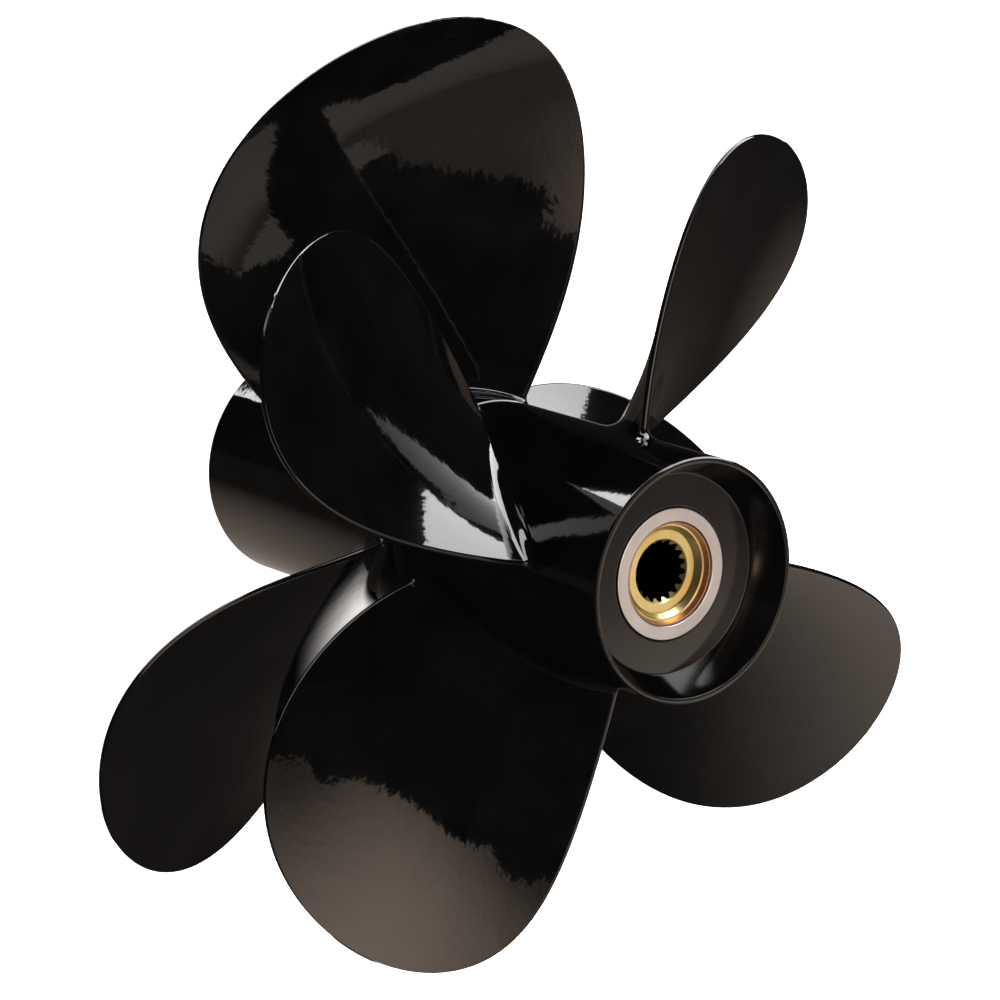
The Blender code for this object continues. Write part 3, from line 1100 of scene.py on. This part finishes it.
@dataclass(frozen=True)
class ReflectorCard:
    """A glowing card that shows only in reflections. Apart from the back bank, each card paints the
    reflection of a lit surface round the pair.

    Its middle is given over the table, and so are its two directions. Its outline and its lobes are
    given on the card, in metres along those directions.
    """

    name: str
    middle: Point
    colour: Colour
    strength: float
    outline: tuple[Flat, ...]
    lobes: tuple[Lobe, ...] = ()
    across: Point = (1.0, 0.0, 0.0)
    along: Point = (0.0, 1.0, 0.0)

    def _material(self) -> Material:
        """Makes the glow, with its lobes laid out in metres on the card."""
        material = bpy.data.materials.new(self.name)
        material.use_nodes = True
        tree = material.node_tree
        tree.nodes.remove(tree.nodes["Principled BSDF"])
        sheet = NodeSheet(tree)
        place = sheet.add("ShaderNodeTexCoord").outputs["Object"]
        total: object = self.strength
        for lobe in self.lobes:
            gap = sheet.add("ShaderNodeVectorMath", {0: place, 1: (*lobe.place, 0.0)}, operation="DISTANCE")
            ease = sheet.mask(gap.outputs["Value"], lobe.radius, 0.0)
            total = sheet.math("MULTIPLY_ADD", ease, lobe.strength, total)
        glow = sheet.add("ShaderNodeEmission", {"Color": (*self.colour, 1.0), "Strength": total})
        sheet.feed(tree.nodes["Material Output"].inputs["Surface"], glow.outputs["Emission"])
        return material

    def build(self) -> None:
        """Adds the card in its own plane, then turns it to its place."""
        deselect_all()
        bpy.ops.mesh.primitive_circle_add(vertices=len(self.outline), radius=1.0, fill_type="NGON")
        obj = name_new(self.name)
        for vertex, spot in zip(obj.data.vertices, self.outline):
            vertex.co = (*spot, 0.0)
        across, along = TableFrame.spot(*self.across).normalized(), TableFrame.spot(*self.along).normalized()
        turn = Matrix((across, along, across.cross(along))).transposed()
        obj.matrix_world = Matrix.Translation(TableFrame.spot(*self.middle)) @ turn.to_4x4()
        obj.data.materials.append(self._material())
        hide_from(obj, "camera", "diffuse", "shadow")


TABLE_WARMTH = (1.0, 0.83, 0.70)
CARDS = (
    ReflectorCard(
        name="back_bank",
        middle=(0.12, -0.87, 1.17),
        along=(0.0, 0.70, 0.71),
        colour=(1.0, 0.985, 1.0),
        strength=9.0,
        outline=((-1.75, -0.88), (1.75, -0.88), (1.75, 0.88), (-1.75, 0.88),
                 (-1.75, 0.65), (0.40, 0.65), (0.40, -0.30), (-1.75, -0.30)),
    ),
    # Painted reflection of a warm lit reflector to the front right, brighter in its lobes.
    ReflectorCard(
        name="draped_reflector_glow",
        middle=(1.79, 1.163, 0.532),
        across=(0.545, -0.839, 0.0),
        along=(-0.203, -0.132, 0.970),
        colour=(1.0, 0.78, 0.63),
        strength=0.35,
        outline=((-1.62, -0.65), (-1.72, -0.18), (-1.78, 0.09), (-1.69, 0.42), (-1.54, 0.66),
                 (-1.39, 0.84), (-1.35, 0.97), (-1.43, 1.14), (-1.32, 1.23), (-1.21, 1.32),
                 (-1.10, 1.54), (-0.95, 1.71), (-0.73, 1.74), (-0.55, 1.76), (-0.35, 1.69),
                 (-0.18, 1.61), (-0.04, 1.72), (0.20, 1.56), (0.90, 1.20), (1.30, 0.40), (1.30, -0.65)),
        lobes=(Lobe((-0.33, 0.44), 1.2, 3.0), Lobe((-0.80, 1.30), 0.95, 1.5)),
    ),
    # Painted reflection of the table under the pair: dim near it as painted shadow, with painted pools of
    # light in its lobes.
    ReflectorCard(
        name="table_glow",
        middle=(0.0, 0.0, -0.102),
        colour=TABLE_WARMTH,
        strength=0.05,
        outline=((-1.0, -0.3), (0.7, -0.3), (0.7, 0.3), (0.4, 0.45), (0.0, 1.5), (-1.0, 1.5)),
        lobes=(Lobe((0.42, 0.14), 0.25, 2.0), Lobe((-0.10, -0.03), 0.22, 0.6),
               Lobe((-0.24, 1.15), 0.35, 0.45)),
    ),
    # Painted reflection of the lit table in front of the pair, with painted pools of light in its lobes.
    ReflectorCard(
        name="front_table_glow",
        middle=(0.0, 0.0, -0.101),
        colour=TABLE_WARMTH,
        strength=0.25,
        outline=((0.19, 0.48), (0.45, 0.42), (0.72, 0.25), (3.5, 0.2), (3.5, 3.9), (0.36, 3.9)),
        lobes=(Lobe((0.4, 1.1), 1.8, 0.5), Lobe((1.5, 0.6), 1.1, 1.3)),
    ),
    # Painted reflection of a lit low wall at the front edge of the table.
    ReflectorCard(
        name="low_wall_glow",
        middle=(0.0, 3.9, 0.0),
        along=(0.0, 0.0, 1.0),
        colour=(1.0, 0.88, 0.76),
        strength=0.7,
        outline=((0.36, -0.10), (3.0, -0.10), (3.0, 0.40), (0.36, 0.40)),
    ),
    # Painted pool of light on the table under the pair, where light falls between the blades.
    ReflectorCard(
        name="light_between_blades",
        middle=(0.078, 0.055, -0.1),
        colour=(1.0, 0.95, 0.91),
        strength=0.0,
        outline=((-0.05, -0.05), (0.05, -0.05), (0.05, 0.05), (-0.05, 0.05)),
        lobes=(Lobe((0.0, 0.0), 0.05, 3.2),),
    ),
)


class Studio:
    """Floor, lamp, reflector cards, backdrop and camera."""

    CAMERA_PLACE = (-0.174078, -1.208479, 1.643127)
    CAMERA_TURN = (-13.3927, -37.0712, 103.7462)
    LENS, SENSOR = 167.2125, 36.0
    CLIP = (0.05, 50.0)
    FLOOR_RADIUS, FLOOR_SIDES = 6.0, 96
    LAMP_HEIGHT, LAMP_SIZE, LAMP_POWER = 3.0, 4.0, 330.0
    SURROUND = (0.012, 0.012, 0.013, 1.0)
    WHITE = (1.0, 1.0, 1.0, 1.0)

    def floor(self, groups: EffectGroups) -> None:
        """Adds the floor that the pair stands on."""
        deselect_all()
        bpy.ops.mesh.primitive_circle_add(vertices=self.FLOOR_SIDES, radius=self.FLOOR_RADIUS,
                                          fill_type="NGON")
        obj = name_new("studio_floor")
        obj.data.materials.append(FLOOR_FINISH.build(groups))
        hide_from(obj, "glossy")

    def backdrop(self) -> None:
        """Gives the camera a white surround and reflections a dark one."""
        world = bpy.data.worlds.new("studio_surround")
        world.use_nodes = True
        bpy.context.scene.world = world
        sheet = NodeSheet(world.node_tree)
        dim = world.node_tree.nodes["Background"]
        dim.inputs["Color"].default_value = self.SURROUND
        white = sheet.add("ShaderNodeBackground", {"Color": self.WHITE, "Strength": 1.0})
        path = sheet.add("ShaderNodeLightPath")
        seen = sheet.math("MAXIMUM", path.outputs["Is Camera Ray"], path.outputs["Is Diffuse Ray"])
        mix = sheet.add("ShaderNodeMixShader", {"Fac": seen, 1: dim.outputs["Background"],
                                                2: white.outputs["Background"]})
        sheet.feed(world.node_tree.nodes["World Output"].inputs["Surface"], mix.outputs["Shader"])

    def lamp(self) -> None:
        """Adds the lamp, which lights the floor and stays out of reflections."""
        lamp = bpy.data.lights.new("overhead", "AREA")
        lamp.shape = "RECTANGLE"
        lamp.size = lamp.size_y = self.LAMP_SIZE
        lamp.energy = self.LAMP_POWER
        lamp.use_shadow = False
        obj = bpy.data.objects.new("overhead", lamp)
        obj.location.z = self.LAMP_HEIGHT
        hide_from(obj, "camera", "glossy")
        bpy.context.scene.collection.objects.link(obj)

    def camera(self) -> None:
        """Puts the camera at the photograph's viewing angle."""
        data = bpy.data.cameras.new("studio_camera")
        data.lens = self.LENS
        data.sensor_width = self.SENSOR
        data.clip_start, data.clip_end = self.CLIP
        obj = bpy.data.objects.new("studio_camera", data)
        obj.location = self.CAMERA_PLACE
        obj.rotation_euler = [math.radians(angle) for angle in self.CAMERA_TURN]
        bpy.context.scene.collection.objects.link(obj)
        bpy.context.scene.camera = obj

    def build(self, groups: EffectGroups) -> None:
        """Sets the studio up."""
        self.floor(groups)
        self.backdrop()
        self.camera()
        self.lamp()
        for card in CARDS:
            card.build()
        bpy.context.scene.view_settings.view_transform = "Standard"


def main() -> None:
    """Builds every piece and the studio."""
    logging.basicConfig(level=logging.INFO, format="%(name)s: %(message)s")
    shop = Paintshop()
    HubCasting("front", Body.FRONT, 0.0, FRONT_LENGTH, FRONT_SLEEVE_RADIUS).build(shop)
    HubCasting("rear", Body.REAR, REAR_END, REAR_START, REAR_SLEEVE_RADIUS).build(shop)
    CastBlade(FRONT_FORM, "front", Body.FRONT, fillet=0.006, end_fillet=0.004).build(shop)
    CastBlade(REAR_FORM, "rear", Body.REAR, fillet=0.006, end_fillet=0.005).build(shop)
    SplinedInsert("front", Body.FRONT, cup_end=0.0, sleeve_end=THRUST_HEIGHT - THRUST_GAP / 2, teeth=26,
                  root_radius=0.0194, tooth_radius=0.0180, outer_radius=FRONT_SLEEVE_RADIUS).build(shop)
    SplinedInsert("rear", Body.REAR, cup_end=REAR_END, sleeve_end=THRUST_HEIGHT + THRUST_GAP / 2, teeth=18,
                  root_radius=0.0127, tooth_radius=0.0114, outer_radius=REAR_SLEEVE_RADIUS,
                  turn=math.radians(-10.9)).build(shop)
    Studio().build(shop.groups)


if __name__ == "__main__":
    main()
